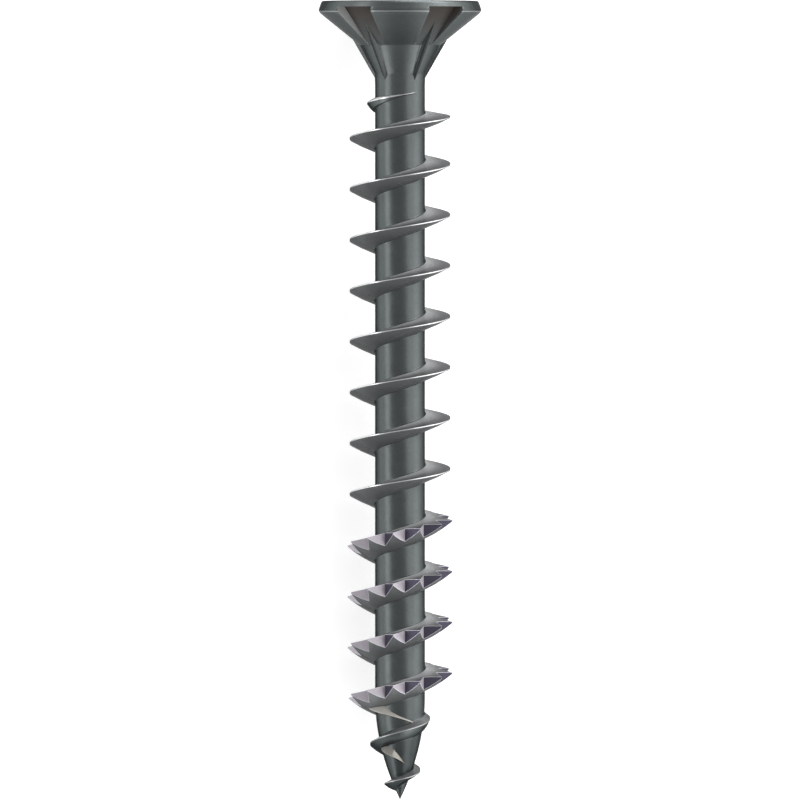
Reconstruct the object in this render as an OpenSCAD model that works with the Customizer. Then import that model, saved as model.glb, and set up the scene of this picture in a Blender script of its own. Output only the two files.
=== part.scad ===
// Multi-purpose countersunk screw, one solid piece of steel.
// It lies as it comes to rest: on the head rim and on two cusps of the notched thread.
// In its own frame the axis is z, with the point at z = 0 and the flat head face at z = screw_l.

/* [Overall] */
// Length from the flat head face to the point
screw_l = 40; // [33:0.5:48]
// Diameter over the plain thread turns
thread_d = 5.05; // [4.2:0.05:6.1]
// Core diameter between the turns
core_d = 2.5; // [2:0.05:3]
// Axial distance from one turn to the next
pitch = 2.545; // [2.1:0.005:3.1]

/* [Head] */
// Largest diameter, at the lower edge of the rim
head_d = 8.15; // [6.7:0.05:9.8]
// How far the edge of the flat top face is set in from the largest diameter
face_inset = 0.205; // [0.17:0.005:0.25]
// Height of the rim band
rim_h = 0.46; // [0.38:0.01:0.56]
// Rounding of the rim edges
rim_round = 0.1; // [0.08:0.01:0.12]
// Depth below the face where the wide cone changes to the narrow one
cone_h = 2.22; // [1.85:0.01:2.67]
// Diameter where the two cones meet
cone_d = 4.03; // [3.35:0.01:4.84]
// Depth below the face where the narrow cone ends
head_h = 3.66; // [3.05:0.01:4.4]
// Diameter of the plain neck
neck_d = 2.53; // [2.1:0.01:3.04]

/* [Drive recess] */
// Width over the six lobes
lobe_d = 3.95; // [3.25:0.05:4.75]
// Width between the six flutes
flute_d = 2.85; // [2.35:0.05:3.4]
// Radius of a lobe
lobe_r = 0.3; // [0.25:0.01:0.36]
// Depth of the straight walls
drive_h = 1.75; // [1.45:0.05:2.1]

/* [Pockets and ribs under the head] */
// Pockets around the wide cone
pockets = 5; // [4:1:6]
// Angle that one pocket takes
pocket_deg = 29; // [24:1:35]
// Depth below the face of the pocket roof
pocket_roof = 0.31; // [0.26:0.01:0.38]
// Depth of a pocket below the rim at its roof
pocket_depth = 0.43; // [0.35:0.01:0.52]
// Depth below the face where a rib leaves the pocket floor
rib_start = 1.02; // [0.85:0.01:1.23]
// Depth below the face where a rib runs out on the neck
rib_end = 3.95; // [3.8:0.01:4.6]
// Slope of the rib sides, half width over height
rib_slope = 0.7; // [0.58:0.01:0.84]

/* [Thread] */
// Depth below the face where the thread starts
thread_start = 4.6; // [4.2:0.02:5.52]
// Width of the crest
crest_w = 0.1; // [0.08:0.01:0.12]
// Root width of the upper flank
upper_w = 0.23; // [0.19:0.01:0.28]
// Root width of the lower flank on the plain turns
lower_w = 0.5; // [0.42:0.01:0.6]
// How far the lower flank bulges out, as a share of its root width
bulge = 0.12; // [0.05:0.01:0.2]
// Turns over which the thread rises from the neck
rise_turns = 1; // [0.8:0.1:1.2]
// Share of the pitch with which the thread runs out at the neck
run_out_lead = 0.55; // [0.46:0.01:0.66]

/* [Notches] */
// Diameter over the cusps of the notched turns
notched_d = 5.3; // [4.4:0.05:6.4]
// Diameter over the bottoms of the notches
valley_d = 3.9; // [3.25:0.05:4.7]
// Notches on one turn
notches = 12; // [10:2:14]
// Turns that are notched
notched_turns = 4; // [2:1:6]
// Root width of the lower flank on the notched turns
notched_lower_w = 0.8; // [0.67:0.01:0.96]

/* [Point] */
// Length of the rounded taper
taper_l = 5.13; // [4.27:0.01:6.16]
// Height of the end of the thread above the point
thread_end = 0.71; // [0.6:0.01:0.85]
// How much closer the tapered turns stand to the notched ones than one pitch
tip_rise = 0.19; // [0.16:0.01:0.23]
// Crest height over the core on the tapered turns
tip_crest = 0.43; // [0.36:0.01:0.52]
// Root width of the upper flank on the tapered turns
tip_upper_w = 0.2; // [0.16:0.01:0.24]
// Root width of the lower flank on the tapered turns
tip_lower_w = 0.37; // [0.3:0.01:0.45]
// Height above the point where the upper counter rib crosses the front
counter_z = 4.03; // [3.4:0.01:4.5]
// Distance from one counter rib to the next
counter_gap = 2.06; // [1.7:0.01:2.47]
// Lead of the counter ribs, which run against the thread
counter_lead = 3; // [2.5:0.05:3.6]
// Greatest height of a counter rib over the core
counter_h = 0.4; // [0.33:0.01:0.48]

/* [Hidden] */

core_r = core_d / 2;
head_r = head_d / 2;
face_r = head_r - face_inset;
cone_r = cone_d / 2;
neck_r = neck_d / 2;
cusp_r = notched_d / 2;
valley_r = valley_d / 2;

// Directions around the axis: the underside is at 90, and the front is the side that shows the
// pockets and the counter ribs evenly, a quarter of a notch from the top
end_deg = 90;
front_deg = 270 - 90 / notches;
seg = 4 * notches;

// The lead changes over half a turn near the neck, so that the thread climbs less as it runs out
lead_change = [-1.25, -0.7];
lead_lost = (1 - run_out_lead) * -(lead_change[0] + lead_change[1]) / 2;
steps = round(seg * ((screw_l - thread_start - thread_end) / pitch + 0.5 + lead_lost));
turns = steps / seg;
first_cusp = 2 + 0.5 / notches;
last_cusp = first_cusp + notched_turns;
join_z = screw_l - thread_start + 0.35;
ring_z = thread_end / 4;

function smooth(x) = x <= 0 ? 0 : x >= 1 ? 1 : x * x * (3 - 2 * x);
function between(x, a, b) = smooth((x - a) / (b - a));
function mix(a, b, part) = a + (b - a) * part;

// Core radius at a height: a straight cylinder above a rounded taper
function core_at(z) = z >= taper_l ? core_r : core_r * (z / taper_l) * (2 - z / taper_l);

// Height of the crest after u turns from the lower end, where its lead starts from nothing
function lost_turns(u) =
    let(span = lead_change[1] - lead_change[0])
    let(past = u - turns - lead_change[0])
    (1 - run_out_lead) * (past <= 0 ? 0 : past < span ? past * past / (2 * span) : past - span / 2);
function crest_turns(u) = (u < 1 ? u * u / 2 : u - 0.5) - lost_turns(u);
function tip_share(u) = between(u, 0.3, 1.2) * (1 - between(u, 1.7, 2.25));
function crest_z(u) = thread_end + pitch * crest_turns(u) + tip_rise * tip_share(u);

// Shares of the full thread, of the notched thread and of its rise at u turns; at the run-out the
// root widens before the crest rises
function rise(u) = between(turns - u, 0, rise_turns);
function widen(u) = between(turns - u, 0, rise_turns / 2);
function full(u) = between(u, 1.7, 2.3);
function notched(u) = between(u, 1.7, first_cusp) * (1 - between(u, last_cusp - 0.04, last_cusp + 0.1));
function fade(u) = between(u, 0, 0.28);

function outer_r(u) =
    let(core = core_at(crest_z(u)))
    let(main = mix(thread_d / 2, cusp_r, notched(u)))
    core + (mix(core + tip_crest * fade(u), main, full(u)) - core) * rise(u);

// Straight facet from a cusp to the bottom of a notch, as seen along the axis
function facet_r(deg, outer) =
    let(half = 180 / notches)
    let(along = valley_r * cos(half))
    let(across = valley_r * sin(half))
    outer * across / (across * cos(deg) + (outer - along) * sin(deg));

function off_cusp(u) =
    let(part = (u - first_cusp) * notches)
    abs(part - round(part)) * 360 / notches;

function is_notched(u) = u > first_cusp - 0.001 && u < last_cusp + 0.001;
function crest_r(u) = is_notched(u) ? facet_r(off_cusp(u), outer_r(u)) : outer_r(u);

function upper_at(u) = mix(tip_upper_w * fade(u), upper_w, full(u)) * widen(u);
function full_lower(u) = mix(lower_w, notched_lower_w, notched(u));
function lower_at(u) = mix(tip_lower_w * fade(u), full_lower(u), full(u)) * widen(u);

// Share of the way from the crest down to the core at which a notch cuts the flank
function cut_share(u) =
    let(core = core_at(crest_z(u)))
    (outer_r(u) - crest_r(u)) / max(outer_r(u) - core, 0.001);

// Axial distance from the crest line to a flank, at a share of the way down to the core
function flank_off(root_w, share, swell) =
    mix(min(crest_w / 2, root_w / 3), root_w, share + 4 * swell * share * (1 - share));

function at(u, r, z) = [r * cos(end_deg + 360 * u), r * sin(end_deg + 360 * u), z];

// Five points of one station: upper root, upper crest edge, lower crest edge, belly, lower root
function station(u) =
    let(z = crest_z(u))
    let(up = upper_at(u))
    let(low = lower_at(u))
    let(cut = cut_share(u))
    let(half_way = (1 + cut) / 2)
    let(belly_off = flank_off(low, half_way, bulge))
    [
        at(u, core_at(z + up), z + up),
        at(u, crest_r(u), z + flank_off(up, cut, 0)),
        at(u, crest_r(u), z - flank_off(low, cut, bulge)),
        at(u, mix(outer_r(u), core_at(z - belly_off), half_way), z - belly_off),
        at(u, core_at(z - low), z - low)
    ];

thread_points = [for (k = [1 : steps - 1]) each station(k / seg)];
low_end = len(thread_points);
high_end = low_end + 1;
top_ring = low_end + 2;
low_ring = top_ring + seg;
point_end = low_ring + seg;
shank_points = concat(
    thread_points,
    [at(0, core_at(thread_end), thread_end)],
    [at(turns, core_r, crest_z(turns))],
    [for (j = [0 : seg - 1]) at(j / seg, core_r, join_z + 0.2)],
    [for (j = [0 : seg - 1]) at(j / seg, core_at(ring_z), ring_z)],
    [[0, 0, 0]]
);

foot = 4;
function row(k, m) = k <= 0 ? low_end : k >= steps ? high_end : (foot + 1) * (k - 1) + m;
function top(k) = top_ring + k % seg;
function low(k) = low_ring + k % seg;
function quad(a, b, c, d) = [[a, b, c], [a, c, d]];

// Flanks and crest, from end to end
strip_faces = [
    for (k = [0 : steps - 1])
        for (m = [0 : foot - 1])
            each k == 0
                ? [[row(0, 0), row(1, m), row(1, m + 1)]]
                : k == steps - 1
                    ? [[row(k, m), row(k + 1, m), row(k, m + 1)]]
                    : quad(row(k, m), row(k + 1, m), row(k + 1, m + 1), row(k, m + 1))
];

// Core between one turn and the next
core_faces = [
    for (k = [0 : steps - seg - 1])
        each quad(row(k + seg, foot), row(k + seg + 1, foot), row(k + 1, 0), row(k, 0))
];

// Core above the last turn, up to the neck
last_turn = steps - seg;
top_faces = concat(
    [
        [row(last_turn + 1, 0), row(last_turn, 0), high_end],
        [row(last_turn + 1, 0), high_end, top(last_turn)],
        [row(last_turn + 1, 0), top(last_turn), top(last_turn + 1)]
    ],
    [
        for (k = [last_turn + 1 : steps - 1])
            each quad(top(k), top(k + 1), row(k + 1, 0), row(k, 0))
    ],
    [[for (j = [seg - 1 : -1 : 0]) top(j)]]
);

// Core below the first turn, down to the point
low_faces = concat(
    [for (k = [0 : seg - 2]) each quad(row(k, foot), row(k + 1, foot), low(k + 1), low(k))],
    [
        [row(seg - 1, foot), row(seg, foot), low_end],
        [row(seg - 1, foot), low_end, low(0)],
        [row(seg - 1, foot), low(0), low(seg - 1)]
    ],
    [for (k = [0 : seg - 1]) [low(k), low(k + 1), point_end]]
);

module threaded_shank() {
    polyhedron(points = shank_points, faces = concat(strip_faces, core_faces, top_faces, low_faces));
}

// Counter rib: it starts inside the thread on the left and runs out towards the right
counter_deg = [-85, 45];
counter_steps = 20;
function counter_share(part) = 1 - between(part, 0.3, 1);

function counter_station(part, front_z, share) =
    let(deg = mix(counter_deg[0], counter_deg[1], part))
    let(z = front_z - counter_lead * deg / 360)
    let(h = counter_h * share * counter_share(part))
    let(u = (front_deg + deg - end_deg) / 360)
    [
        at(u, core_at(z) * 0.86, z + h + 0.05),
        at(u, core_at(z) - 0.02 + h, z),
        at(u, core_at(z) * 0.86, z - h * 0.6 - 0.05)
    ];

module counter_rib(front_z, share) {
    rows = [for (i = [0 : counter_steps]) each counter_station(i / counter_steps, front_z, share)];
    sides = [
        for (i = [0 : counter_steps - 1])
            for (m = [0 : 2])
                each quad(3 * i + m, 3 * i + 3 + m, 3 * i + 3 + (m + 1) % 3, 3 * i + (m + 1) % 3)
    ];
    last = 3 * counter_steps;
    polyhedron(points = rows, faces = concat(sides, [[0, 1, 2], [last + 2, last + 1, last]]));
}

module head_blank() {
    translate([0, 0, screw_l])
        rotate_extrude($fn = 96)
            polygon([
                [0, 0],
                [face_r, 0],
                [face_r + rim_round * 0.6, -rim_round * 0.4],
                [face_r + rim_round, -rim_round * 1.1],
                [head_r, -rim_h + rim_round * 0.3],
                [head_r, -rim_h - rim_round * 0.3],
                [head_r - rim_round * 0.4, -rim_h - rim_round * 1.1],
                [head_r - rim_round * 1.2, -rim_h - rim_round * 2],
                [cone_r, -cone_h],
                [neck_r, -head_h],
                [neck_r, join_z - screw_l],
                [0, join_z - screw_l]
            ]);
}

// Radius of the rim band and of the pocket floor at a depth below the face
function band_r(depth) =
    mix(face_r + rim_round, head_r, (depth - rim_round * 1.1) / (rim_h - rim_round * 1.4));
function floor_r(depth) =
    mix(band_r(pocket_roof) - pocket_depth, cone_r + 0.02, (depth - pocket_roof) / (cone_h - pocket_roof));

module pocket_cut() {
    translate([0, 0, screw_l])
        rotate([0, 0, -pocket_deg / 2])
            rotate_extrude(angle = pocket_deg, $fn = 96)
                polygon([
                    [floor_r(pocket_roof), -pocket_roof],
                    [head_r + 1, -pocket_roof],
                    [head_r + 1, -cone_h],
                    [cone_r + 0.02, -cone_h]
                ]);
}

// Sharp rib from the pocket floor over the narrow cone to the neck
rib_lean = atan2(floor_r(rib_start) - neck_r, rib_end - rib_start);
rib_length = (rib_end - rib_start) / cos(rib_lean);
rib_base = 0.5;
rib_bury = 0.3;

module rib() {
    translate([neck_r, 0, screw_l - rib_end])
        rotate([0, rib_lean, 0])
            translate([0, 0, -rib_bury])
                linear_extrude(rib_length + 2 * rib_bury)
                    polygon([
                        [0, 0],
                        [-rib_base, rib_base * rib_slope],
                        [-rib_base, -rib_base * rib_slope]
                    ]);
}

// Six-lobe recess: lobe arcs and flute arcs that meet at a tangent
lobe_at = lobe_d / 2 - lobe_r;
flute_r =
    (lobe_r * lobe_r - lobe_at * lobe_at - flute_d * flute_d / 4 + lobe_at * flute_d * cos(30))
    / (flute_d - 2 * lobe_at * cos(30) - 2 * lobe_r);
flute_at = flute_d / 2 + flute_r;
meet_deg = atan2(flute_at * sin(30), flute_at * cos(30) - lobe_at);
arc_steps = 8;

function lobe_point(i) =
    let(a = mix(-meet_deg, meet_deg, i / arc_steps))
    [lobe_at + lobe_r * cos(a), lobe_r * sin(a)];
function flute_point(i) =
    let(spread = meet_deg - 30)
    let(a = 210 + mix(spread, -spread, i / arc_steps))
    [flute_at * cos(30) + flute_r * cos(a), flute_at * sin(30) + flute_r * sin(a)];
function turned(p, deg) = [p[0] * cos(deg) - p[1] * sin(deg), p[0] * sin(deg) + p[1] * cos(deg)];

module drive_recess() {
    star = [
        for (n = [0 : 5])
            each concat(
                [for (i = [0 : arc_steps]) turned(lobe_point(i), 60 * n)],
                [for (i = [1 : arc_steps - 1]) turned(flute_point(i), 60 * n)]
            )
    ];
    translate([0, 0, screw_l - drive_h])
        linear_extrude(drive_h + 1)
            polygon(star);
    translate([0, 0, screw_l - drive_h - 0.4])
        cylinder(h = 0.41, r1 = 0, r2 = flute_d / 2 - 0.1, $fn = 96);
}

module screw_body() {
    difference() {
        union() {
            difference() {
                head_blank();
                for (i = [0 : pockets - 1])
                    rotate([0, 0, front_deg + (i + 0.5) * 360 / pockets])
                        pocket_cut();
            }
            for (i = [0 : pockets - 1])
                rotate([0, 0, front_deg + (i + 0.5) * 360 / pockets])
                    rib();
            threaded_shank();
            counter_rib(counter_z, 1);
            counter_rib(counter_z - counter_gap, 0.8);
        }
        drive_recess();
    }
}

// Resting place. The head touches at the rim over a pocket or beside it, and the thread at two cusps
// of the third turn from the point, or at the lowest plain turn where that stands out further.
pocket_step = 360 / pockets;
past_pocket = (front_deg + pocket_step / 2 - end_deg) % pocket_step;
beside_pocket = pocket_deg / 2 - min(past_pocket, pocket_step - past_pocket);
head_props = [
    [band_r(pocket_roof), screw_l - pocket_roof],
    [head_r * cos(max(beside_pocket, 0)), screw_l - rim_h - rim_round * 0.3]
];
thread_props = [
    [cusp_r * cos(180 / notches), crest_z(3 - 0.5 / notches) - crest_w / 2],
    [thread_d / 2, crest_z(ceil(last_cusp + 0.1)) - crest_w / 2]
];
lean = min([
    for (t = thread_props)
        max([for (h = head_props) atan2(h[0] - t[0], h[1] - t[1])])
]);
lift = max([for (h = head_props) h[0] * cos(lean) - h[1] * sin(lean)]);
length_y = screw_l * cos(lean) + face_r * sin(lean);

module screw() {
    color("#565d5d")
        translate([0, -length_y / 2, lift])
            rotate([lean - 90, 0, 0])
                screw_body();
}

screw();
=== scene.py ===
import math

import bpy
from bpy.props import FloatProperty, FloatVectorProperty, IntProperty, PointerProperty
from mathutils import Euler, Matrix, Vector


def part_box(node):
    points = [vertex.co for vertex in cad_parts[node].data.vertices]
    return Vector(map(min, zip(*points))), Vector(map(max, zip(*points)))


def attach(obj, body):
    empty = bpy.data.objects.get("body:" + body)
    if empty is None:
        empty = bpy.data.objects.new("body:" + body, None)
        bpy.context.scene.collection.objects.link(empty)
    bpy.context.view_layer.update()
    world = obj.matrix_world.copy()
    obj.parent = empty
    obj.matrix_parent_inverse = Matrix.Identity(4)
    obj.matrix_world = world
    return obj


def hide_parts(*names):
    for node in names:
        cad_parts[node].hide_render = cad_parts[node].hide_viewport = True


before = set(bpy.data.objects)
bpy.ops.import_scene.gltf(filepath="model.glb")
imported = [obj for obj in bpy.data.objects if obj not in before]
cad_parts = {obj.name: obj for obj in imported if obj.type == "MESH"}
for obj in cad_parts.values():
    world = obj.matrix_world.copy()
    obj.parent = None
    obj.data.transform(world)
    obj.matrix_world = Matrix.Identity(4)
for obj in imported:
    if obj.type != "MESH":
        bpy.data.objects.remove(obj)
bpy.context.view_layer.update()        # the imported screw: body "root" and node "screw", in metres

bl_info = {
    "name": "Multi-purpose screw",
    "version": (1, 0, 0),
    "blender": (4, 5, 0),
    "location": "3D View > Sidebar > Screw",
    "description": "A countersunk screw with a notched thread, and a stage to show it on",
    "category": "Add Mesh",
}

MM = 0.001
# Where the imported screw's point lies, and the crest width of its source
POINT_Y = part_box("screw")[0].y
CAD_CREST_W = 0.1

# Finishes, in the order of the screw's material slots
COAT, UPPER, LOWER, CREST, EDGE, NOTCH_LIT, NOTCH_SHADED, COUNTER, POCKET = range(9)
WALL_LIT, WALL_SHADED, CONE, RIM_EDGE, RIB_LIT, RIB_SHADED, TIP_CREST, TIP_FLANK = range(9, 17)


def number(name, description, value, **kind):
    """A number with its limits and its unit."""
    return FloatProperty(name=name, description=description, default=value, **kind)


def length(name, description, millimetres):
    """A size that the sidebar shows as a length."""
    return number(name, description, millimetres * MM, min=0.0, precision=5, unit="LENGTH")


def angle(name, description, degrees):
    """A size that the sidebar shows as an angle."""
    return number(name, description, math.radians(degrees), unit="ROTATION")


def share(name, description, value, high=1.0):
    """A plain number from 0 to a highest value."""
    return number(name, description, value, min=0.0, max=high)


def power(name, description, watts):
    """Power of a lamp."""
    return number(name, description, watts, unit="POWER")


def count(name, description, value, low, high):
    """A whole number."""
    return IntProperty(name=name, description=description, default=value, min=low, max=high)


def colour(name, description, rgb):
    """A colour without transparency."""
    return FloatVectorProperty(
        name=name, description=description, default=rgb, min=0.0, max=1.0, subtype="COLOR"
    )


class ScrewSizes(bpy.types.PropertyGroup):
    """Sizes of the screw, nearly all as in the part's own source."""

    screw_l: length("Length", "From the flat head face to the point", 40)
    thread_d: length("Thread diameter", "Over the plain turns", 5.05)
    core_d: length("Core diameter", "Between the turns", 2.5)
    pitch: length("Pitch", "Axial distance from one turn to the next", 2.545)
    head_d: length("Head diameter", "At the lower edge of the rim", 8.15)
    face_inset: length("Face inset", "From the largest diameter to the edge of the face", 0.205)
    rim_h: length("Rim height", "Height of the rim band", 0.46)
    rim_round: length("Rim rounding", "Rounding of the rim edges", 0.1)
    cone_h: length("Wide cone depth", "Below the face, where the cones meet", 2.22)
    cone_d: length("Cone diameter", "Where the two cones meet", 4.03)
    head_h: length("Head depth", "Below the face, where the narrow cone ends", 3.66)
    neck_d: length("Neck diameter", "Diameter of the plain neck", 2.53)
    lobe_d: length("Recess width", "Over the six lobes", 3.95)
    flute_d: length("Recess flute width", "Between the six flutes", 2.85)
    lobe_r: length("Lobe radius", "Radius of a lobe", 0.3)
    drive_h: length("Recess depth", "Depth of the straight walls", 1.75)
    pockets: count("Pockets", "Pockets around the wide cone", 5, 3, 8)
    pocket_angle: angle("Pocket angle", "Angle that one pocket takes", 29)
    pocket_roof: length("Pocket roof", "Depth of the roof below the face", 0.31)
    pocket_depth: length("Pocket depth", "Below the rim, at the roof", 0.43)
    rib_start: length("Rib start", "Below the face, where a rib leaves the floor", 1.02)
    rib_end: length("Rib end", "Below the face, where a rib runs out", 3.95)
    rib_back: length("Rib back", "Radius of a rib's rounded back", 0.17)
    thread_start: length("Thread start", "Depth below the face", 4.6)
    crest_w: length("Crest width", "Width of the crest", 0.07)
    upper_w: length("Upper flank", "Root width of the upper flank", 0.23)
    lower_w: length("Lower flank", "Root width of the lower flank", 0.5)
    bulge: share("Bulge", "How far the lower flank bulges, over its root width", 0.12)
    rise_turns: share("Rise", "Turns over which the thread rises from the neck", 1.0, 3.0)
    run_out_lead: share("Run-out lead", "Share of the pitch at the neck", 0.55)
    notched_d: length("Cusp diameter", "Over the cusps of the notched turns", 5.3)
    valley_d: length("Notch diameter", "Over the bottoms of the notches", 3.9)
    notches: count("Notches", "Notches on one turn", 12, 6, 18)
    notched_turns: count("Notched turns", "Turns that are notched", 4, 1, 8)
    notched_lower_w: length("Notched flank", "Lower flank on the notched turns", 0.8)
    taper_l: length("Taper", "Length of the rounded taper", 5.13)
    thread_end: length("Thread end", "Height above the point", 0.71)
    tip_rise: length("Tip rise", "How much closer the tapered turns stand to the rest", 0.19)
    tip_crest: length("Tip crest", "Crest height on the tapered turns", 0.43)
    tip_upper_w: length("Tip upper flank", "Upper flank on the tapered turns", 0.2)
    tip_lower_w: length("Tip lower flank", "Lower flank on the tapered turns", 0.37)
    counter_z: length("Counter rib", "Where the upper counter rib crosses the front", 4.03)
    counter_gap: length("Counter gap", "From one counter rib to the next", 2.06)
    counter_lead: length("Counter lead", "Lead of the counter ribs", 3.0)
    counter_h: length("Counter height", "Height of a counter rib over the core", 0.4)
    root_round: length("Root fillet", "Fillet between a flank and the core", 0.05)
    edge_round: length("Edge rounding", "Rounding of the crest's edges", 0.02)


class ScrewFinish(bpy.types.PropertyGroup):
    """Colours of the coating and of the places where it is worn or cut, and painted light and shade
    on the flanks, notches, pockets, ribs, rim edge, counter ribs and point.
    """

    coat: colour("Coating", "Dark grey-green coating", (0.11, 0.122, 0.123))
    coat_thin: colour("Thin patches", "Where the coating is thin", (0.104, 0.113, 0.113))
    # Painted light: the flanks are coloured lighter than the coating, the lower ones most
    upper: colour("Upper flank", "Side of the thread that faces the head", (0.135, 0.138, 0.141))
    # Painted highlight: the upper flank lightens towards the core
    upper_root: colour("Upper flank, root", "The same near the core", (0.57, 0.577, 0.587))
    tip_flank: colour("Flanks near the point", "Flanks of the tapered turns", (0.2, 0.207, 0.21))
    lower: colour("Lower flank", "Side of the thread that faces the point", (0.2, 0.208, 0.211))
    crest: colour("Crest", "Worn crest of the thread", (0.75, 0.76, 0.76))
    tip_crest: colour("Crest near the point", "Less worn crest", (0.42, 0.425, 0.43))
    # Painted shade: the coating darkens towards the point
    tip: colour("Point", "Coating towards the point", (0.058, 0.066, 0.067))
    edge: colour("Edges", "Sharp edges of the notches", (0.7, 0.68, 0.73))
    # Painted light and shade on the notches: one side of each notch gets a lit colour, the other a
    # shaded one
    notch_lit: colour("Notch, leading side", "Bright side of a notch", (0.44, 0.41, 0.455))
    notch_shaded: colour("Notch, trailing side", "Dark side of a notch", (0.075, 0.07, 0.098))
    # Painted highlight on the counter ribs' upper faces, less bright towards the point
    counter: colour("Counter ribs", "Rubbed ribs on the point", (0.62, 0.595, 0.555))
    counter_low: colour("Lower counter rib", "The same towards the point", (0.3, 0.285, 0.265))
    # Painted shade on the pockets' floor: darker and browner near the rim, lighter towards the neck
    pocket: colour("Pockets", "Floor of the pockets near the rim", (0.062, 0.054, 0.049))
    pocket_low: colour("Pockets, low end", "Their floor near the neck", (0.085, 0.093, 0.093))
    # Painted light and shade on the pockets' walls: one wall gets a lit colour, the other a shaded
    # one
    wall_lit: colour("Pocket, cutting side", "Rubbed side of a pocket", (0.46, 0.465, 0.465))
    wall_shaded: colour("Pocket, far side", "Dark side of a pocket", (0.1, 0.105, 0.105))
    # Painted highlight: a light band along the rim's lower edge
    rim_edge: colour("Rim edge", "Rubbed lower edge of the rim", (0.33, 0.34, 0.34))
    # Painted light and shade on the ribs: one side dark, the rest light
    rib_lit: colour("Ribs", "Rubbed side of the ribs under the head", (0.12, 0.128, 0.128))
    rib_shaded: colour("Ribs, far side", "Other side of the ribs", (0.04, 0.045, 0.045))
    roughness: share("Roughness", "Roughness of the coating", 0.35)
    metallic: share("Metallic", "How metallic the coating is", 0.85)
    edge_tint: share("Edge tint", "Share of the reflection that is left at a glancing angle", 0.0)
    cone_tint: share("Cone tint", "The same on the wide cone", 0.4)


class StageLook(bpy.types.PropertyGroup):
    """Floor, lamps and camera."""

    floor: colour("Floor", "Colour of the floor", (0.86, 0.86, 0.86))
    floor_white: share("Floor glow", "Lifts the floor to white as it is seen", 0.5)
    world: share("Room", "Brightness of the room", 0.43, 4.0)
    left_lamp: power("Left lamp", "Power of the left lamp", 0.9)
    right_lamp: power("Right lamp", "Power of the right lamp", 0.65)
    high_lamp: power("High lamp", "Power of the high lamp", 0.75)
    right_point_lamp: power("Right point lamp", "Power of the lamp right of the point", 0.32)
    left_point_lamp: power("Left point lamp", "Power of the lamp left of the point", 0.1)
    head_lamp: power("Head lamp", "Power of the lamp beyond the head", 0.9)
    lens: number("Lens", "Focal length in millimetres", 1500.0, min=50.0)
    seen_width: length("Seen width", "Width of the view at the screw's axis", 40.075)
    view_side: length("View aside", "How far the view's middle is beside the axis", 0.0)
    view_height: length("View height", "From the point to the view's middle", 20.01)


# Form of the thread and the head, in millimetres, with the axis along z and the point at 0


def smooth(x):
    x = min(max(x, 0.0), 1.0)
    return x * x * (3 - 2 * x)


def between(x, a, b):
    return smooth((x - a) / (b - a))


def mix(a, b, part):
    return a + (b - a) * part


def along(points, x, eased=False):
    """Height at x of a line through points (x, y), or of a curve that is level at each."""
    for (x0, y0), (x1, y1) in zip(points, points[1:]):
        if x <= x1:
            return mix(y0, y1, between(x, x0, x1) if eased else max((x - x0) / (x1 - x0), 0.0))
    return points[-1][1]


# Too small to tell apart
NEAR = 0.001

# Stations from notch to notch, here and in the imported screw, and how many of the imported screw's
# stations this thread is longer
STATIONS = 16
CAD_STATIONS = 4
RIDGE_STATIONS = 2

# By turn from the thread's lower end: where it starts, where the tapered turns stand closer to the
# rest and where no more, and where they grow into full turns
TIP_START = (0, 0.28)
TIP_CLOSER = (0.55, 1.2)
TIP_LEVEL = (1.7, 2.25)
TIP_FULL = (1.7, 2.3)

# Shares of the crest's height and of the root widths along the tapered turns, by turn
TIP_HEIGHTS = ((0.0, 1.05), (0.23, 1.05), (0.73, 0.97), (1.23, 1.2), (1.73, 0.72), (2.3, 0.8))
TIP_WIDTHS = ((0.3, 1.0), (0.73, 0.7), (1.23, 1.0), (1.73, 1.55), (2.3, 1.55))

# Turns before and after the last cusp over which the notched turns end
NOTCH_END = (0.04, 0.1)

# By turn before the thread's upper end: where the lead changes, and how far from it both flanks
# swell, by this share
LEAD_CHANGE = (-1.25, -0.7)
SWELL_END = (0.2, 0.6)
RUN_OUT_SWELL = 0.4

# By share of the rise at the neck: a low ridge, with its height and width, and the rise to the
# full height and width
RIDGE_RISE = (0, 0.06)
RIDGE_H = 0.05
RIDGE_W = 0.12
HEIGHT_RISE = (0.15, 0.85)
WIDTH_RISE = (0, 0.5)

# Points of a flank, and the largest share of it that its fillet and its edge's rounding take
FLANK_POINTS = 9
FILLET_SHARE = 0.3
EDGE_SHARE = 0.2

# Height over the thread's upper end at which the shank meets the head, and reach of the rounding
# of the head's creases
HEAD_JOIN = 0.35
CREASE = 0.03

# Heights of the counter ribs along them: (degrees from the front, share of their height)
UPPER_RIB = (
    (-85, 1.0), (-55, 1.0), (-39, 0.9), (-20, 0.5), (0, 0.3), (32, 0.175), (57, 0.1), (62, 0.04)
)
LOWER_RIB = ((-85, 0.1), (-65, 0.3), (-45, 0.8), (-20, 0.95), (0, 0.52), (18, 0.05))
# Each counter rib: rise over its place, gaps below the first, share of the lead, heights
COUNTER_RIBS = ((0.05, 0, 0.8, UPPER_RIB), (0.0, 1, 1.13, LOWER_RIB))


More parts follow.
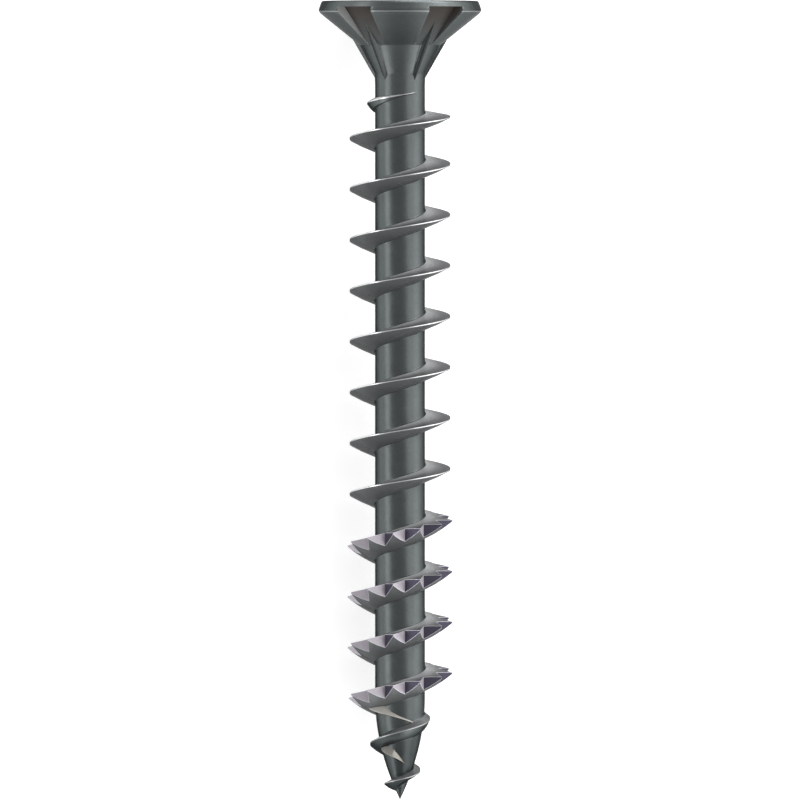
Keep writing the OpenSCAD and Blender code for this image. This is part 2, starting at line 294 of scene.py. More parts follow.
class ScrewForm:
    """The sizes in millimetres and degrees, and what follows from them."""

    def __init__(self, sizes):
        for name, prop in sizes.bl_rna.properties.items():
            if name in ScrewSizes.__annotations__:
                value = getattr(sizes, name)
                if prop.unit == "LENGTH":
                    value = round(value / MM, 5)
                elif prop.unit == "ROTATION":
                    value = round(math.degrees(value), 4)
                setattr(self, name, value)
        self.core_r = self.core_d / 2
        self.head_r = self.head_d / 2
        self.face_r = self.head_r - self.face_inset
        self.cone_r = self.cone_d / 2
        self.neck_r = self.neck_d / 2
        self.cusp_r = self.notched_d / 2
        self.valley_r = self.valley_d / 2
        self.seg = STATIONS * self.notches
        threaded = self.screw_l - self.thread_start - self.thread_end
        cad_seg = CAD_STATIONS * self.notches
        lead_lost = -(1 - self.run_out_lead) * sum(LEAD_CHANGE) / 2
        self.cad_turns = round(cad_seg * (threaded / self.pitch + 0.5 + lead_lost)) / cad_seg
        self.turns = self.cad_turns + RIDGE_STATIONS / cad_seg
        self.front_deg = 270 - 90 / self.notches
        self.steps = round(self.turns * self.seg)
        self.first_cusp = 2 + 0.5 / self.notches
        self.last_cusp = self.first_cusp + self.notched_turns
        self.join_z = self.screw_l - self.thread_start + HEAD_JOIN
        rim, face_r, head_r, rim_h = self.rim_round, self.face_r, self.head_r, self.rim_h
        # Outline of the head as (depth, radius), with the rim's edges rounded in small steps
        self.profile = [
            (0.0, face_r),
            (rim * 0.1, face_r + rim * 0.3),
            (rim * 0.4, face_r + rim * 0.6),
            (rim * 1.1, face_r + rim),
            (rim_h - rim * 0.3, head_r),
            (rim_h + rim * 0.3, head_r),
            (rim_h + rim * 1.1, head_r - rim * 0.4),
            (rim_h + rim * 2, head_r - rim * 1.2),
            (self.cone_h, self.cone_r),
            (self.head_h, self.neck_r),
            (self.head_h + 0.1, self.neck_r),
            (self.screw_l - self.join_z, self.core_r),
        ]
        # Floor of a pocket as (depth, radius)
        self.floor = [
            (self.pocket_roof, self.band_r(self.pocket_roof) - self.pocket_depth),
            (self.cone_h, self.cone_r + 0.02),
        ]
        run = self.rib_end - self.rib_start
        self.rib_lean = math.atan2(along(self.floor, self.rib_start) - self.neck_r, run)

    def band_r(self, depth):
        """Radius of the rim band."""
        (low, low_r), (high, high_r) = self.profile[3:5]
        return mix(low_r, high_r, (depth - low) / (high - low))

    def core_at(self, z):
        """Radius of the core, which tapers to the point."""
        part = max(z, 0.0) / self.taper_l
        return self.core_r if part >= 1 else self.core_r * part * (2 - part)

    def lost_turns(self, u):
        """Turns of climb that the thread has lost where it runs out at the neck."""
        start, end = LEAD_CHANGE
        span = end - start
        past = u - self.cad_turns - start
        lost = 0 if past <= 0 else past * past / (2 * span) if past < span else past - span / 2
        return (1 - self.run_out_lead) * lost

    def crest_z(self, u):
        """Height of the crest's middle."""
        risen = (u * u / 2 if u < 1 else u - 0.5) - self.lost_turns(u)
        closer = between(u, *TIP_CLOSER) * (1 - between(u, *TIP_LEVEL))
        return self.thread_end + self.pitch * risen + self.tip_rise * closer

    def full(self, u):
        """Share of the full thread, over the tapered turns."""
        return between(u, *TIP_FULL)

    def notched(self, u):
        """Share of the notched turns' own sizes."""
        before, after = NOTCH_END
        rising = between(u, TIP_FULL[0], self.first_cusp)
        return rising * (1 - between(u, self.last_cusp - before, self.last_cusp + after))

    def left(self, u):
        """Share of the rise at the neck that is left."""
        return (self.turns - u) / self.rise_turns

    def outer_r(self, u):
        """Radius of the crest, or of the line through the cusps."""
        core = self.core_at(self.crest_z(u))
        main = mix(self.thread_d / 2, self.cusp_r, self.notched(u))
        tip = core + self.tip_crest * between(u, *TIP_START) * along(TIP_HEIGHTS, u, eased=True)
        full = mix(tip, main, self.full(u))
        left = self.left(u)
        ridge = RIDGE_H * between(left, *RIDGE_RISE)
        return core + (full - core) * (ridge + (1 - RIDGE_H) * between(left, *HEIGHT_RISE))

    def is_notched(self, u):
        return self.first_cusp - NEAR < u < self.last_cusp + NEAR

    def crest_r(self, u):
        """Crest radius: straight facets, seen along the axis, from each cusp to each notch."""
        outer = self.outer_r(u)
        if not self.is_notched(u):
            return outer
        part = (u - self.first_cusp) * self.notches
        off = math.radians(abs(part - round(part)) * 360 / self.notches)
        half = math.pi / self.notches
        inner, across = self.valley_r * math.cos(half), self.valley_r * math.sin(half)
        return outer * across / (across * math.cos(off) + (outer - inner) * math.sin(off))

    def root_widths(self, u):
        """Root widths of the lower and the upper flank."""
        left = self.left(u)
        rise = max(between(left, *WIDTH_RISE), RIDGE_W * between(left, *RIDGE_RISE))
        low = mix(self.lower_w, self.notched_lower_w, self.notched(u))
        wider = between(u, *TIP_START) * along(TIP_WIDTHS, u, eased=True)
        return (
            mix(self.tip_lower_w * wider, low, self.full(u)) * rise,
            mix(self.tip_upper_w * wider, self.upper_w, self.full(u)) * rise,
        )

    def flank(self, u, root_w, way):
        """Points (radius, z) up one flank, from its foot on the core to its edge on the crest."""
        z = self.crest_z(u)
        outer, tip = self.outer_r(u), self.crest_r(u)
        cut = (outer - tip) / max(outer - self.core_at(z), NEAR)
        rounder = RUN_OUT_SWELL * (1 - between(self.turns - u, *SWELL_END))
        swell = max(self.bulge if way < 0 else 0.0, rounder)

        def side(part):
            bent = part + 4 * swell * part * (1 - part)
            at = z + way * mix(min(self.crest_w / 2, root_w / 3), root_w, bent)
            return Vector((mix(outer, self.core_at(at), part), at))

        root, edge = side(1.0), side(cut)
        high = (edge - root).length
        if high < 1e-6:
            return [root] * FLANK_POINTS
        fillet = min(self.root_round, FILLET_SHARE * high)
        foot_z = root.y + way * fillet
        foot = Vector((self.core_at(foot_z), foot_z))
        low_part = mix(1.0, cut, fillet / high)
        top_part = mix(cut, 1.0, min(self.edge_round / high, EDGE_SHARE))
        start = side(low_part)
        points = [foot]
        for part in (1 / 3, 2 / 3):
            points.append(foot.lerp(root, part).lerp(root.lerp(start, part), part))
        points.append(start)
        points += [side(mix(low_part, top_part, part)) for part in (0.3, 0.65, 1.0)]
        # The rounded edge ends on the crest, well before the crest's middle
        inset = min(self.edge_round * 0.7, abs(edge.y - z) * 0.4)
        return points + [Vector((tip, edge.y)), Vector((tip, edge.y - way * inset))]

    def section(self, u):
        """The thread's cross-section, from the lower foot over the crest to the upper foot."""
        low, up = self.root_widths(u)
        return self.flank(u, low, -1) + self.flank(u, up, 1)[::-1]

    def cone_at(self, depth):
        """Outer radius of the head below the rim, with its creases a little rounded."""
        if depth < self.rim_h + self.rim_round * 2.5:
            return along(self.profile, depth)
        low, here, high = (along(self.profile, depth + way) for way in (-CREASE, 0, CREASE))
        return (low + 2 * here + high) / 4

    def ground_r(self, depth, cut):
        """Radius of what a rib stands on: the cone, or a pocket's floor where that is cut."""
        outer = self.cone_at(depth)
        return min(along(self.floor, depth), outer) if cut else outer


class Skin:
    """A closed surface that is gathered point by point and face by face."""

    def __init__(self):
        self.points = []
        self.faces = []
        self.finishes = []

    def point(self, degrees, radius, z):
        a = math.radians(degrees)
        self.points.append((radius * math.cos(a) * MM, radius * math.sin(a) * MM, z * MM))
        return len(self.points) - 1

    def face(self, corners, finish=COAT):
        kept = [c for i, c in enumerate(corners) if c != corners[i - 1]]
        if len(kept) > 2:
            self.faces.append(kept)
            self.finishes.append(finish)

    def strip(self, left, right, finishes=None):
        """Quads between two columns with as many points, listed upwards."""
        for i in range(len(left) - 1):
            corners = left[i], right[i], right[i + 1], left[i + 1]
            self.face(corners, finishes[i] if finishes else COAT)

    def strips(self, columns):
        for left, right in zip(columns, columns[1:]):
            self.strip(left, right)

    def ring_strip(self, low, high, finishes=None):
        """Quads between two closed rings with as many points."""
        for i in range(len(low)):
            j = (i + 1) % len(low)
            self.face((low[i], low[j], high[j], high[i]), finishes[i] if finishes else COAT)

    def stitch(self, left, right, rings=False):
        """Triangles between columns, or rings, of different counts, each [(index, place)]."""
        if rings:
            left, right = (row + [(row[0][0], row[0][1] + 360)] for row in (left, right))
        i = j = 0
        while i < len(left) - 1 or j < len(right) - 1:
            near, far = left[i][0], right[j][0]
            if j == len(right) - 1 or (i < len(left) - 1 and left[i + 1][1] <= right[j + 1][1]):
                i += 1
                after = left[i][0]
            else:
                j += 1
                after = right[j][0]
            self.face((near, after, far) if rings else (near, far, after))


# Direction of both ends of the thread, which is the underside of the resting screw
END_DEG = 90
# Points between the turns and below the first one
CORE_ROWS = 3
POINT_ROWS = 5
# Strips of the cross-section, counted from its lower foot: the crest, and how many beside it are
# worn edges and how many aren't fillets
CREST_ROW = FLANK_POINTS - 1
EDGE_ROWS = 2
FLANK_ROWS = 5
# Turns of the run-out whose lower flank has the coating's colour instead of the lower flank's
# painted light
COATED_TURNS = 0.6


def spread(skin, form, degrees, low_z, high_z, rows):
    """Points on the core between two heights, without the ends."""
    heights = [mix(low_z, high_z, (i + 1) / (rows + 1)) for i in range(rows)]
    return [skin.point(degrees, form.core_at(z), z) for z in heights]


def thread_finish(form, u, row):
    """Finish of a strip of the thread, by its row in the cross-section."""
    up = row - CREST_ROW
    if up == 0:
        if not form.is_notched(u):
            return CREST if form.full(u) > 0.5 else TIP_CREST
        # Painted light and shade: the first half of each notch gets the lit colour, the second half
        # the shaded one
        part = (u - form.first_cusp) * form.notches
        return NOTCH_LIT if part % 1 < 0.5 else NOTCH_SHADED
    if abs(up) <= EDGE_ROWS and form.is_notched(u):
        return EDGE
    if abs(up) > FLANK_ROWS:
        return COAT
    # Painted light: the flanks get lighter colours than the coating
    if form.full(u) < 0.5:
        return TIP_FLANK if up > 0 else COAT
    if up < 0:
        return LOWER if u < form.turns - COATED_TURNS else COAT
    return UPPER


def threaded_shank(skin, form):
    """Thread, core and point. Returns the ring on which the head stands."""
    seg, steps = form.seg, form.steps
    columns = []
    for k in range(steps + 1):
        u = k / seg
        degrees = END_DEG + 360 * u
        section = form.section(u)
        if k in (0, steps):
            columns.append([skin.point(degrees, section[0].x, section[0].y)] * len(section))
        else:
            columns.append([skin.point(degrees, p.x, p.y) for p in section])

    def around(k):
        return END_DEG + 360 * k / seg

    def end_z(k, end):
        return skin.points[columns[k][end]][2] / MM

    def with_heights(column):
        return [(i, skin.points[i][2]) for i in column]

    for k, (left, right) in enumerate(zip(columns, columns[1:])):
        middle = (k + 0.5) / seg
        finishes = [thread_finish(form, middle, row) for row in range(len(left) - 1)]
        skin.strip(left, right, finishes)

    # Core between one turn and the next
    between_turns = []
    for k in range(steps - seg + 1):
        inner = spread(skin, form, around(k), end_z(k, -1), end_z(k + seg, 0), CORE_ROWS)
        between_turns.append([columns[k][-1], *inner, columns[k + seg][0]])
    skin.strips(between_turns)

    # Core below the first turn, down to the point
    ring_z = form.thread_end / 4
    below = []
    for k in range(seg):
        low = skin.point(around(k), form.core_at(ring_z), ring_z)
        inner = spread(skin, form, around(k), ring_z, end_z(k, 0), POINT_ROWS)
        below.append([low, *inner, columns[k][0]])
    skin.strips(below)
    skin.stitch(with_heights(below[-1]), with_heights(below[0] + between_turns[0][1:]))
    point = skin.point(0, 0, 0)
    for k in range(seg):
        skin.face((below[k][0], point, below[(k + 1) % seg][0]))

    # Core above the last turn, up to the head
    above = []
    last_turn = range(steps - seg + 1, steps + 1)
    for k in last_turn:
        inner = spread(skin, form, around(k), end_z(k, -1), form.join_z, CORE_ROWS)
        top = skin.point(around(k), form.core_r, form.join_z)
        above.append([columns[k][-1], *inner, top])
    skin.strips(above)
    skin.stitch(with_heights(between_turns[-1] + above[-1][1:]), with_heights(above[0]))
    return [(column[-1], around(k)) for k, column in zip(last_turn, above)]


# Half the angle that a pocket's side takes, and the first step beside it
WALL_DRAFT_DEG = 0.15
SMALL_DEG = 0.5
# Share of a rib's height that its rounded back takes, and least depth of the back
BACK_SHARE = 0.75
BACK_LEAST = 0.01
# Angles from a rib's ridge: how far its foot is looked for and in how many halvings, how near the
# foot's points may come, and the first point
RIB_REACH_DEG = 20.0
HALVINGS = 20
FOOT_LEAST_DEG = 1.2
RIDGE_DEG = 0.35
# Where a rib's painted shade turns to painted light, as a share of the way to its foot, and where
# the painted highlight on the rim's lower edge lies, in roundings
RIB_LIGHT = 0.25
RIM_HIGHLIGHT_BAND = (0.35, 0.75)


def rib_r(form, degrees, depth, base):
    """Radius of a rib's rounded back at an angle from its ridge, or 0 beside it."""
    high = form.neck_r + (form.rib_end - depth) * math.tan(form.rib_lean) - base
    if high <= 0 or not form.rib_start <= depth <= form.rib_end:
        return 0.0
    a = math.radians(degrees)
    lean = math.cos(form.rib_lean)
    deep = min(form.rib_back / lean, BACK_SHARE * high + BACK_LEAST)
    middle = base + high - deep
    along_r = (math.cos(a) / deep) ** 2 + (math.sin(a) / (deep * lean)) ** 2
    half_b = middle * math.cos(a) / deep**2
    under = half_b**2 - along_r * ((middle / deep) ** 2 - 1)
    return (half_b + math.sqrt(under)) / along_r if under > 0 else 0.0


def rib_foot_deg(form, depth, base):
    """Angle from a rib's ridge to its foot on the surface beside it."""
    if rib_r(form, 0.0, depth, base) <= base:
        return 0.0
    low, high = 0.0, RIB_REACH_DEG
    for _ in range(HALVINGS):
        middle = (low + high) / 2
        if rib_r(form, middle, depth, base) > base:
            low = middle
        else:
            high = middle
    return low


def sector(form, depth, cut):
    """Angles from one halfway line between pockets to the next, with the share of the cut."""
    half = form.pocket_angle / 2
    inner = half - WALL_DRAFT_DEG
    foot = max(rib_foot_deg(form, depth, form.ground_r(depth, cut)), FOOT_LEAST_DEG)
    border = 180 / form.pockets
    places = [(0.0, cut), (RIDGE_DEG, cut)]
    places += [(mix(RIDGE_DEG, foot, i / 6), cut) for i in range(1, 7)]
    places += [(mix(foot, inner - SMALL_DEG, i / 7), cut) for i in range(1, 8)]
    places += [(inner, cut), (half, cut * 0.3), (half + WALL_DRAFT_DEG, cut * 0.04)]
    start = half + WALL_DRAFT_DEG + SMALL_DEG
    places += [(mix(start, border, i / 12), 0.0) for i in range(13)]
    return [(-a, c) for a, c in places[:0:-1]][1:] + places


def head_finish(form, depth, cut, low, high):
    """Finish of the head's surface between two angles from a pocket's middle."""
    middle = (low + high) / 2
    half = form.pocket_angle / 2
    foot = rib_foot_deg(form, depth, form.ground_r(depth, cut))
    if abs(middle) < foot:
        # Painted shade on a rib's one side, painted light on the rest
        return RIB_SHADED if middle < foot * RIB_LIGHT else RIB_LIT
    if cut and depth < form.cone_h and abs(middle) < half + WALL_DRAFT_DEG:
        # Painted shade on the pockets' floor
        if -half + WALL_DRAFT_DEG < middle < half:
            return POCKET
        # Painted light on the wall on one side of a pocket, painted shade on the wall on the other
        return WALL_LIT if middle < 0 else WALL_SHADED
    # Painted highlight in a band along the rim's lower edge
    start, end = (form.rim_h + form.rim_round * part for part in RIM_HIGHLIGHT_BAND)
    if start < depth < end:
        return RIM_EDGE
    return CONE if form.rim_h < depth < form.cone_h else COAT


def head_ring(skin, form, depth, cut):
    """One ring of the head, as [(index, degrees)]."""
    places = sector(form, depth, cut)
    outer, ground = form.cone_at(depth), form.ground_r(depth, cut)
    z = form.screw_l - depth
    ring = []
    for i in range(form.pockets):
        middle = form.front_deg + (i + 0.5) * 360 / form.pockets
        for degrees, here in places:
            radius = max(mix(outer, ground, here), rib_r(form, degrees, depth, ground))
            ring.append((skin.point(middle + degrees, radius, z), middle + degrees))
    return ring


def levels(low, high, steps, cut=0):
    """Evenly spaced depths of rings, each with the share of the pockets' cut."""
    return [(mix(low, high, i / steps), cut) for i in range(steps + 1)]


def head_rows(form):
    """The depths of all rings from the neck up to the face's edge, closer at the creases."""
    neck, crease, roof = form.head_h, form.cone_h, form.pocket_roof
    rims = [d for d, _ in form.profile[4:8]]
    rim_rows = (roof + 0.38, rims[3], rims[2], mix(rims[2], rims[1], 0.5), rims[1], rims[0])
    return [
        *levels(form.screw_l - form.join_z - 0.03, form.rib_end + 0.03, 3),
        *levels(form.rib_end, neck + 0.05, 4),
        *levels(neck + 0.02, neck - 0.05, 3),
        *levels(neck - 0.1, crease + 0.06, 14),
        *[(crease + d, 0) for d in (0.03, 0.015, 0.0)],
        *[(crease - d, 1) for d in (0.015, 0.03, 0.042, 0.06)],
        *levels(crease - 0.1, roof + 0.42, 18, 1),
        *[(d, 1) for d in rim_rows],
        *[(roof + d, 1) for d in (0.06, 0.03, 0.002)],
        (roof + 0.001, 0.5),
        (roof, 0.03),
        (roof - 0.015, 0),
        *levels(roof - 0.05, form.profile[3][0] + 0.03, 3),
        *[(d, 0) for d, _ in form.profile[3::-1]],
    ]


def recess_outline(form):
    """The six-lobe outline as [(degrees, radius)], from arcs that meet at a tangent."""
    lobe_at = form.lobe_d / 2 - form.lobe_r
    c30 = math.cos(math.radians(30))
    flute_r = (
        form.lobe_r**2 - lobe_at**2 - form.flute_d**2 / 4 + lobe_at * form.flute_d * c30
    ) / (form.flute_d - 2 * lobe_at * c30 - 2 * form.lobe_r)
    flute_at = form.flute_d / 2 + flute_r
    meet = math.degrees(math.atan2(flute_at * 0.5, flute_at * c30 - lobe_at))
    steps = 12
    outline = []
    for i in range(steps + 1):
        a = math.radians(mix(-meet, meet, i / steps))
        outline.append((lobe_at + form.lobe_r * math.cos(a), form.lobe_r * math.sin(a)))
    for i in range(1, steps):
        a = math.radians(210 + mix(meet - 30, 30 - meet, i / steps))
        x, y = flute_at * c30 + flute_r * math.cos(a), flute_at * 0.5 + flute_r * math.sin(a)
        outline.append((x, y))
    return [
        (60 * n + math.degrees(math.atan2(y, x)), math.hypot(x, y))
        for n in range(6)
        for x, y in outline
    ]


# The recess's rings from its support on the face down: (outwards, depth) at the lip, depths of the
# straight walls, and (share of the radius, depth) on the coned floor
SUPPORT = 0.12
LIP = ((0.055, 0.0), (0.02, 0.015), (0.0, 0.05))
WALLS = (0.45, 0.9, 1.35)
CORNER = 0.03
CONE_RINGS = ((1.0, 0.0), (0.66, 0.14), (0.33, 0.28))
CONE_INSET = 0.1
CONE_DEPTH = 0.4
# Share of the face's radius at which its outer ring lies
FACE_RING = 0.9


def head(skin, form, neck_ring):
    """Neck, cones with pockets and ribs, rim, face and drive recess."""
    rows = head_rows(form)
    rings = [head_ring(skin, form, depth, cut) for depth, cut in rows]
    turn = 360 * math.floor((rings[0][0][1] - neck_ring[0][1]) / 360)
    neck = [(i, d + turn) for i, d in neck_ring]
    while neck[0][1] < rings[0][0][1] - 180 / form.seg:
        neck = neck[1:] + [(neck[0][0], neck[0][1] + 360)]
    skin.stitch(neck, rings[0], rings=True)
    for (low, high), (depth, cut) in zip(zip(rings, rings[1:]), rows[1:]):
        angles = [degrees for degrees, _ in sector(form, depth, cut)]
        angles.append(angles[0] + 360 / form.pockets)
        marks = [head_finish(form, depth, cut, *sides) for sides in zip(angles, angles[1:])]
        skin.ring_strip([i for i, _ in low], [i for i, _ in high], marks * form.pockets)

    top = form.screw_l
    outer = rings[-1]
    face = [(skin.point(d, form.face_r * FACE_RING, top), d) for _, d in outer]
    skin.ring_strip([i for i, _ in outer], [i for i, _ in face])
    outline = sorted(recess_outline(form))

    def recess_ring(grown, z):
        return [skin.point(d, r + grown, z) for d, r in outline]

    edge = recess_ring(SUPPORT, top)
    start = face[0][1]
    edge_ring = [(i, start + (d - start) % 360) for i, (d, _) in zip(edge, outline)]
    skin.stitch(face, sorted(edge_ring, key=lambda point: point[1]), rings=True)
    walls = [(0.0, depth) for depth in (*WALLS, form.drive_h - CORNER)]
    recess = [edge]
    for grown, depth in (*LIP, *walls, (-CORNER, form.drive_h)):
        recess.append(recess_ring(grown, top - depth))
    cone_r = form.flute_d / 2 - CONE_INSET
    for part, depth in CONE_RINGS:
        z = top - (form.drive_h + depth)
        recess.append([skin.point(d, cone_r * part, z) for d, _ in outline])
    for upper, lower in zip(recess, recess[1:]):
        skin.ring_strip(upper, lower)
    centre = skin.point(0, 0, top - form.drive_h - CONE_DEPTH)
    for i in range(len(lower)):
        skin.face((lower[i], lower[(i + 1) % len(lower)], centre))


# Section of a counter rib: radius of its feet as a share of the core's, how far its ridge sinks
# and half its width, and how far its upper and lower foot stand off, as a share of its height and
# more
COUNTER_STEPS = 72
COUNTER_FOOT = 0.86
COUNTER_SINK = 0.02
COUNTER_RIDGE = 0.012
COUNTER_UP = (1.6, 0.05)
COUNTER_DOWN = (0.3, 0.03)


def counter_rib(form, rise, gaps, lead_share, heights):
    """A short rib that crosses the front of the point against the run of the thread."""
    skin = Skin()
    rows = []
    for i in range(COUNTER_STEPS + 1):
        degrees = mix(heights[0][0], heights[-1][0], i / COUNTER_STEPS)
        z = form.counter_z + rise - form.counter_gap * gaps
        z -= form.counter_lead * lead_share * degrees / 360
        high = form.counter_h * along(heights, degrees)
        core = form.core_at(z)
        foot, ridge = core * COUNTER_FOOT, core - COUNTER_SINK + high
        a = form.front_deg + degrees
        rows.append([
            skin.point(a, foot, z + high * COUNTER_UP[0] + COUNTER_UP[1]),
            skin.point(a, ridge, z + COUNTER_RIDGE),
            skin.point(a, ridge, z - COUNTER_RIDGE),
            skin.point(a, foot, z - high * COUNTER_DOWN[0] - COUNTER_DOWN[1]),
        ])
    for left, right in zip(rows, rows[1:]):
        for m in range(4):
            n = (m + 1) % 4
            # Painted highlight on the two upper faces of each counter rib, the plain coating on the
            # lower ones
            skin.face((left[m], left[n], right[n], right[m]), COUNTER if m < 2 else COAT)
    skin.face(rows[0][::-1], COUNTER)
    skin.face(rows[-1], COUNTER)
    return skin


def placed(name, data):
    """A new object in the scene."""
    made = bpy.data.objects.new(name, data)
    bpy.context.scene.collection.objects.link(made)
    return made


def body_from(skin, name, materials):
    """An object with a skin's mesh, and its finishes as the slots of its faces."""
    mesh = bpy.data.meshes.new(name)
    mesh.from_pydata(skin.points, [], skin.faces)
    for material in materials:
        mesh.materials.append(material)
    mesh.polygons.foreach_set("material_index", skin.finishes)
    mesh.validate()
    mesh.update()
    return placed(name, mesh)


def joined(piece, other):
    """Fuses another closed mesh with a piece and takes that mesh away."""
    fuse = piece.modifiers.new("fuse", "BOOLEAN")
    fuse.operation = "UNION"
    fuse.solver = "MANIFOLD"
    fuse.object = other
    graph = bpy.context.evaluated_depsgraph_get()
    mesh = bpy.data.meshes.new_from_object(piece.evaluated_get(graph), depsgraph=graph)
    piece.modifiers.remove(fuse)
    old = piece.data
    piece.data = mesh
    bpy.data.meshes.remove(old)
    bpy.data.objects.remove(other)


class RestingPlace:
    """Where the screw's own frame lies in the row frame, at rest."""

    def __init__(self, form):
        step = 360 / form.pockets
        past = (form.front_deg + step / 2 - END_DEG) % step
        beside = max(form.pocket_angle / 2 - min(past, step - past), 0)
        rim_z = form.screw_l - form.rim_h - form.rim_round * 0.3
        heads = [
            (form.band_r(form.pocket_roof), form.screw_l - form.pocket_roof),
            (form.head_r * math.cos(math.radians(beside)), rim_z),
        ]
        cusp = 3 - 0.5 / form.notches
        crest_half = CAD_CREST_W / 2
        plain_turn = math.ceil(form.last_cusp + NOTCH_END[1])
        threads = [
            (form.cusp_r * math.cos(math.pi / form.notches), form.crest_z(cusp) - crest_half),
            (form.thread_d / 2, form.crest_z(plain_turn) - crest_half),
        ]
        lean = min(
            max(math.atan2(head[0] - thread[0], head[1] - thread[1]) for head in heads)
            for thread in threads
        )
        lift = max(r * math.cos(lean) - z * math.sin(lean) for r, z in heads)
        self.move = Vector((0, POINT_Y, lift * MM))
        self.turn = Euler((lean - math.pi / 2, 0, 0))
        self.matrix = Matrix.Translation(self.move) @ self.turn.to_matrix().to_4x4()

    def direction(self, degrees):
        """Way out of the axis at an angle around it."""
        a = math.radians(degrees)
        return self.matrix.to_3x3() @ Vector((math.cos(a), math.sin(a), 0))


# Finishes

# Metres of the marks' pattern in a radian around the axis
MARK_LENGTH = 0.0004
# How far the grain shades the colour and the marks change the roughness, shares of both in the
# relief, its depth in metres, and the reflection of what isn't metal
GRAIN_SHADE = 0.12
ROUGH_SPREAD = 0.06
GRAIN_RELIEF, MARK_RELIEF = 0.6, 0.4
RELIEF_DEPTH = 0.00002
PLAIN_REFLECTION = 0.05
# How much smoother a worn crest is
CREST_POLISH = 0.05
# In the order of the finishes: name, colour, metallic where it isn't the coating's, and relief
LOOKS = (
    ("coated steel", "coat", None, 0.3),
    # Painted light on the flanks
    ("upper flank", "upper", 0.5, 0.2),
    ("lower flank", "lower", 0.6, 0.2),
    ("worn crest", "crest", 0.93, 0.1),
    ("worn edge", "edge", 0.5, 0.1),
    # Painted light and shade on the two sides of each notch
    ("leading side of a notch", "notch_lit", 0.35, 0.1),
    ("trailing side of a notch", "notch_shaded", 0.4, 0.1),
    # Painted highlight on the counter ribs
    ("rubbed counter rib", "counter", 0.3, 0.1),
    # Painted shade on the pockets' floor, darkest near the rim
    ("pocket floor", "pocket", 0.15, 0.3),
    # Painted light and shade on the pockets' walls
    ("cutting side of a pocket", "wall_lit", 0.4, 0.2),
    ("far side of a pocket", "wall_shaded", 0.5, 0.2),
    ("wide cone", "coat", None, 0.3),
    # Painted highlight along the rim's lower edge
    ("rim edge", "rim_edge", 0.6, 0.1),
    # Painted light and shade on the ribs
    ("rubbed side of a rib", "rib_lit", 0.5, 0.1),
    ("far side of a rib", "rib_shaded", 0.6, 0.2),
    ("crest near the point", "tip_crest", 0.7, 0.1),
    # Painted light on the upper flanks near the point
    ("flank near the point", "tip_flank", 0.6, 0.2),
)


def new_group(name, inputs, outputs):
    """A shader node group with named numbers, what it is given, and its output node."""
    group = bpy.data.node_groups.new(name, "ShaderNodeTree")
    number = "NodeSocketFloat"
    for label, value in inputs.items():
        socket = group.interface.new_socket(label, in_out="INPUT", socket_type=number)
        socket.default_value = value
    for label in outputs:
        group.interface.new_socket(label, in_out="OUTPUT", socket_type=number)
    given = group.nodes.new("NodeGroupInput").outputs
    return group, given, group.nodes.new("NodeGroupOutput")


def feed(tree, made, **inputs):
    """Gives values or links to a node's inputs, by name or as _number."""
    for name, value in inputs.items():
        key = int(name[1:]) if name[0] == "_" else name.replace("_", " ")
        if isinstance(value, bpy.types.NodeSocket):
            tree.links.new(value, made.inputs[key])
        else:
            made.inputs[key].default_value = value


def node(tree, kind, settings=None, **inputs):
    """The outputs of a new node with its settings and its inputs."""
    made = tree.nodes.new(kind)
    for name, value in (settings or {}).items():
        setattr(made, name, value)
    feed(tree, made, **inputs)
    return made.outputs


def math_node(tree, operation, *values):
    inputs = {f"_{i}": value for i, value in enumerate(values)}
    return node(tree, "ShaderNodeMath", {"operation": operation}, **inputs)[0]


def in_range(tree, value, settings=None, **limits):
    return node(tree, "ShaderNodeMapRange", settings, Value=value, **limits)[0]


def noise(tree, place, scale, **inputs):
    return node(tree, "ShaderNodeTexNoise", Vector=place, Scale=scale, **inputs)[0]


def own_frame(group, place):
    """Coordinates in the screw's own frame, with its axis along z."""
    given = node(group, "ShaderNodeTexCoord")
    return node(
        group,
        "ShaderNodeMapping",
        {"vector_type": "TEXTURE"},
        Vector=given["Object"],
        Location=place.move,
        Rotation=place.turn,
    )[0]


def mottle_group(place):
    """Uneven coating: broad patches and fine grain."""
    scales = {"Patch Scale": 900.0, "Grain Scale": 9000.0}
    group, given, result = new_group("Coating mottle", scales, ("Patches", "Grain"))
    here = own_frame(group, place)
    patches = noise(group, here, given["Patch Scale"], Detail=3.0, Roughness=0.6)
    grain = noise(group, here, given["Grain Scale"], Detail=2.0, Roughness=0.5)
    soft = in_range(group, patches, From_Min=0.35, From_Max=0.68)
    feed(group, result, Patches=soft, Grain=grain)
    return group


def axis_place(group, place):
    """Distance from the screw's axis, height along it, and the other two coordinates."""
    x, y, z = node(group, "ShaderNodeSeparateXYZ", Vector=own_frame(group, place))
    squares = [math_node(group, "MULTIPLY", side, side) for side in (x, y)]
    return math_node(group, "SQRT", math_node(group, "ADD", *squares)), z, x, y


def rolling_group(place):
    """Fine marks that run round the axis, as thread rolling and heading leave them."""
    group, given, result = new_group("Rolling marks", {"Spacing": 6000.0}, ("Marks",))
    across, z, x, y = axis_place(group, place)
    turn = math_node(group, "MULTIPLY", math_node(group, "ARCTAN2", y, x), MARK_LENGTH)
    round_axis = node(group, "ShaderNodeCombineXYZ", X=across, Y=turn, Z=z)
    marks = noise(group, round_axis[0], given["Spacing"], Detail=2.0)
    feed(group, result, Marks=marks)
    return group


def fade_group(place, name, reach, along_axis):
    """Mask from 0 at one height along the axis, or distance from it, to 1 at another."""
    group, given, result = new_group(name, {"From": 0.0, "To": reach}, ("Mask",))
    if along_axis:
        where = node(group, "ShaderNodeSeparateXYZ", Vector=own_frame(group, place))[2]
    else:
        where = axis_place(group, place)[0]
    eased = {"interpolation_type": "SMOOTHSTEP"}
    mask = in_range(group, where, eased, From_Min=given["From"], From_Max=given["To"])
    feed(group, result, Mask=mask)
    return group


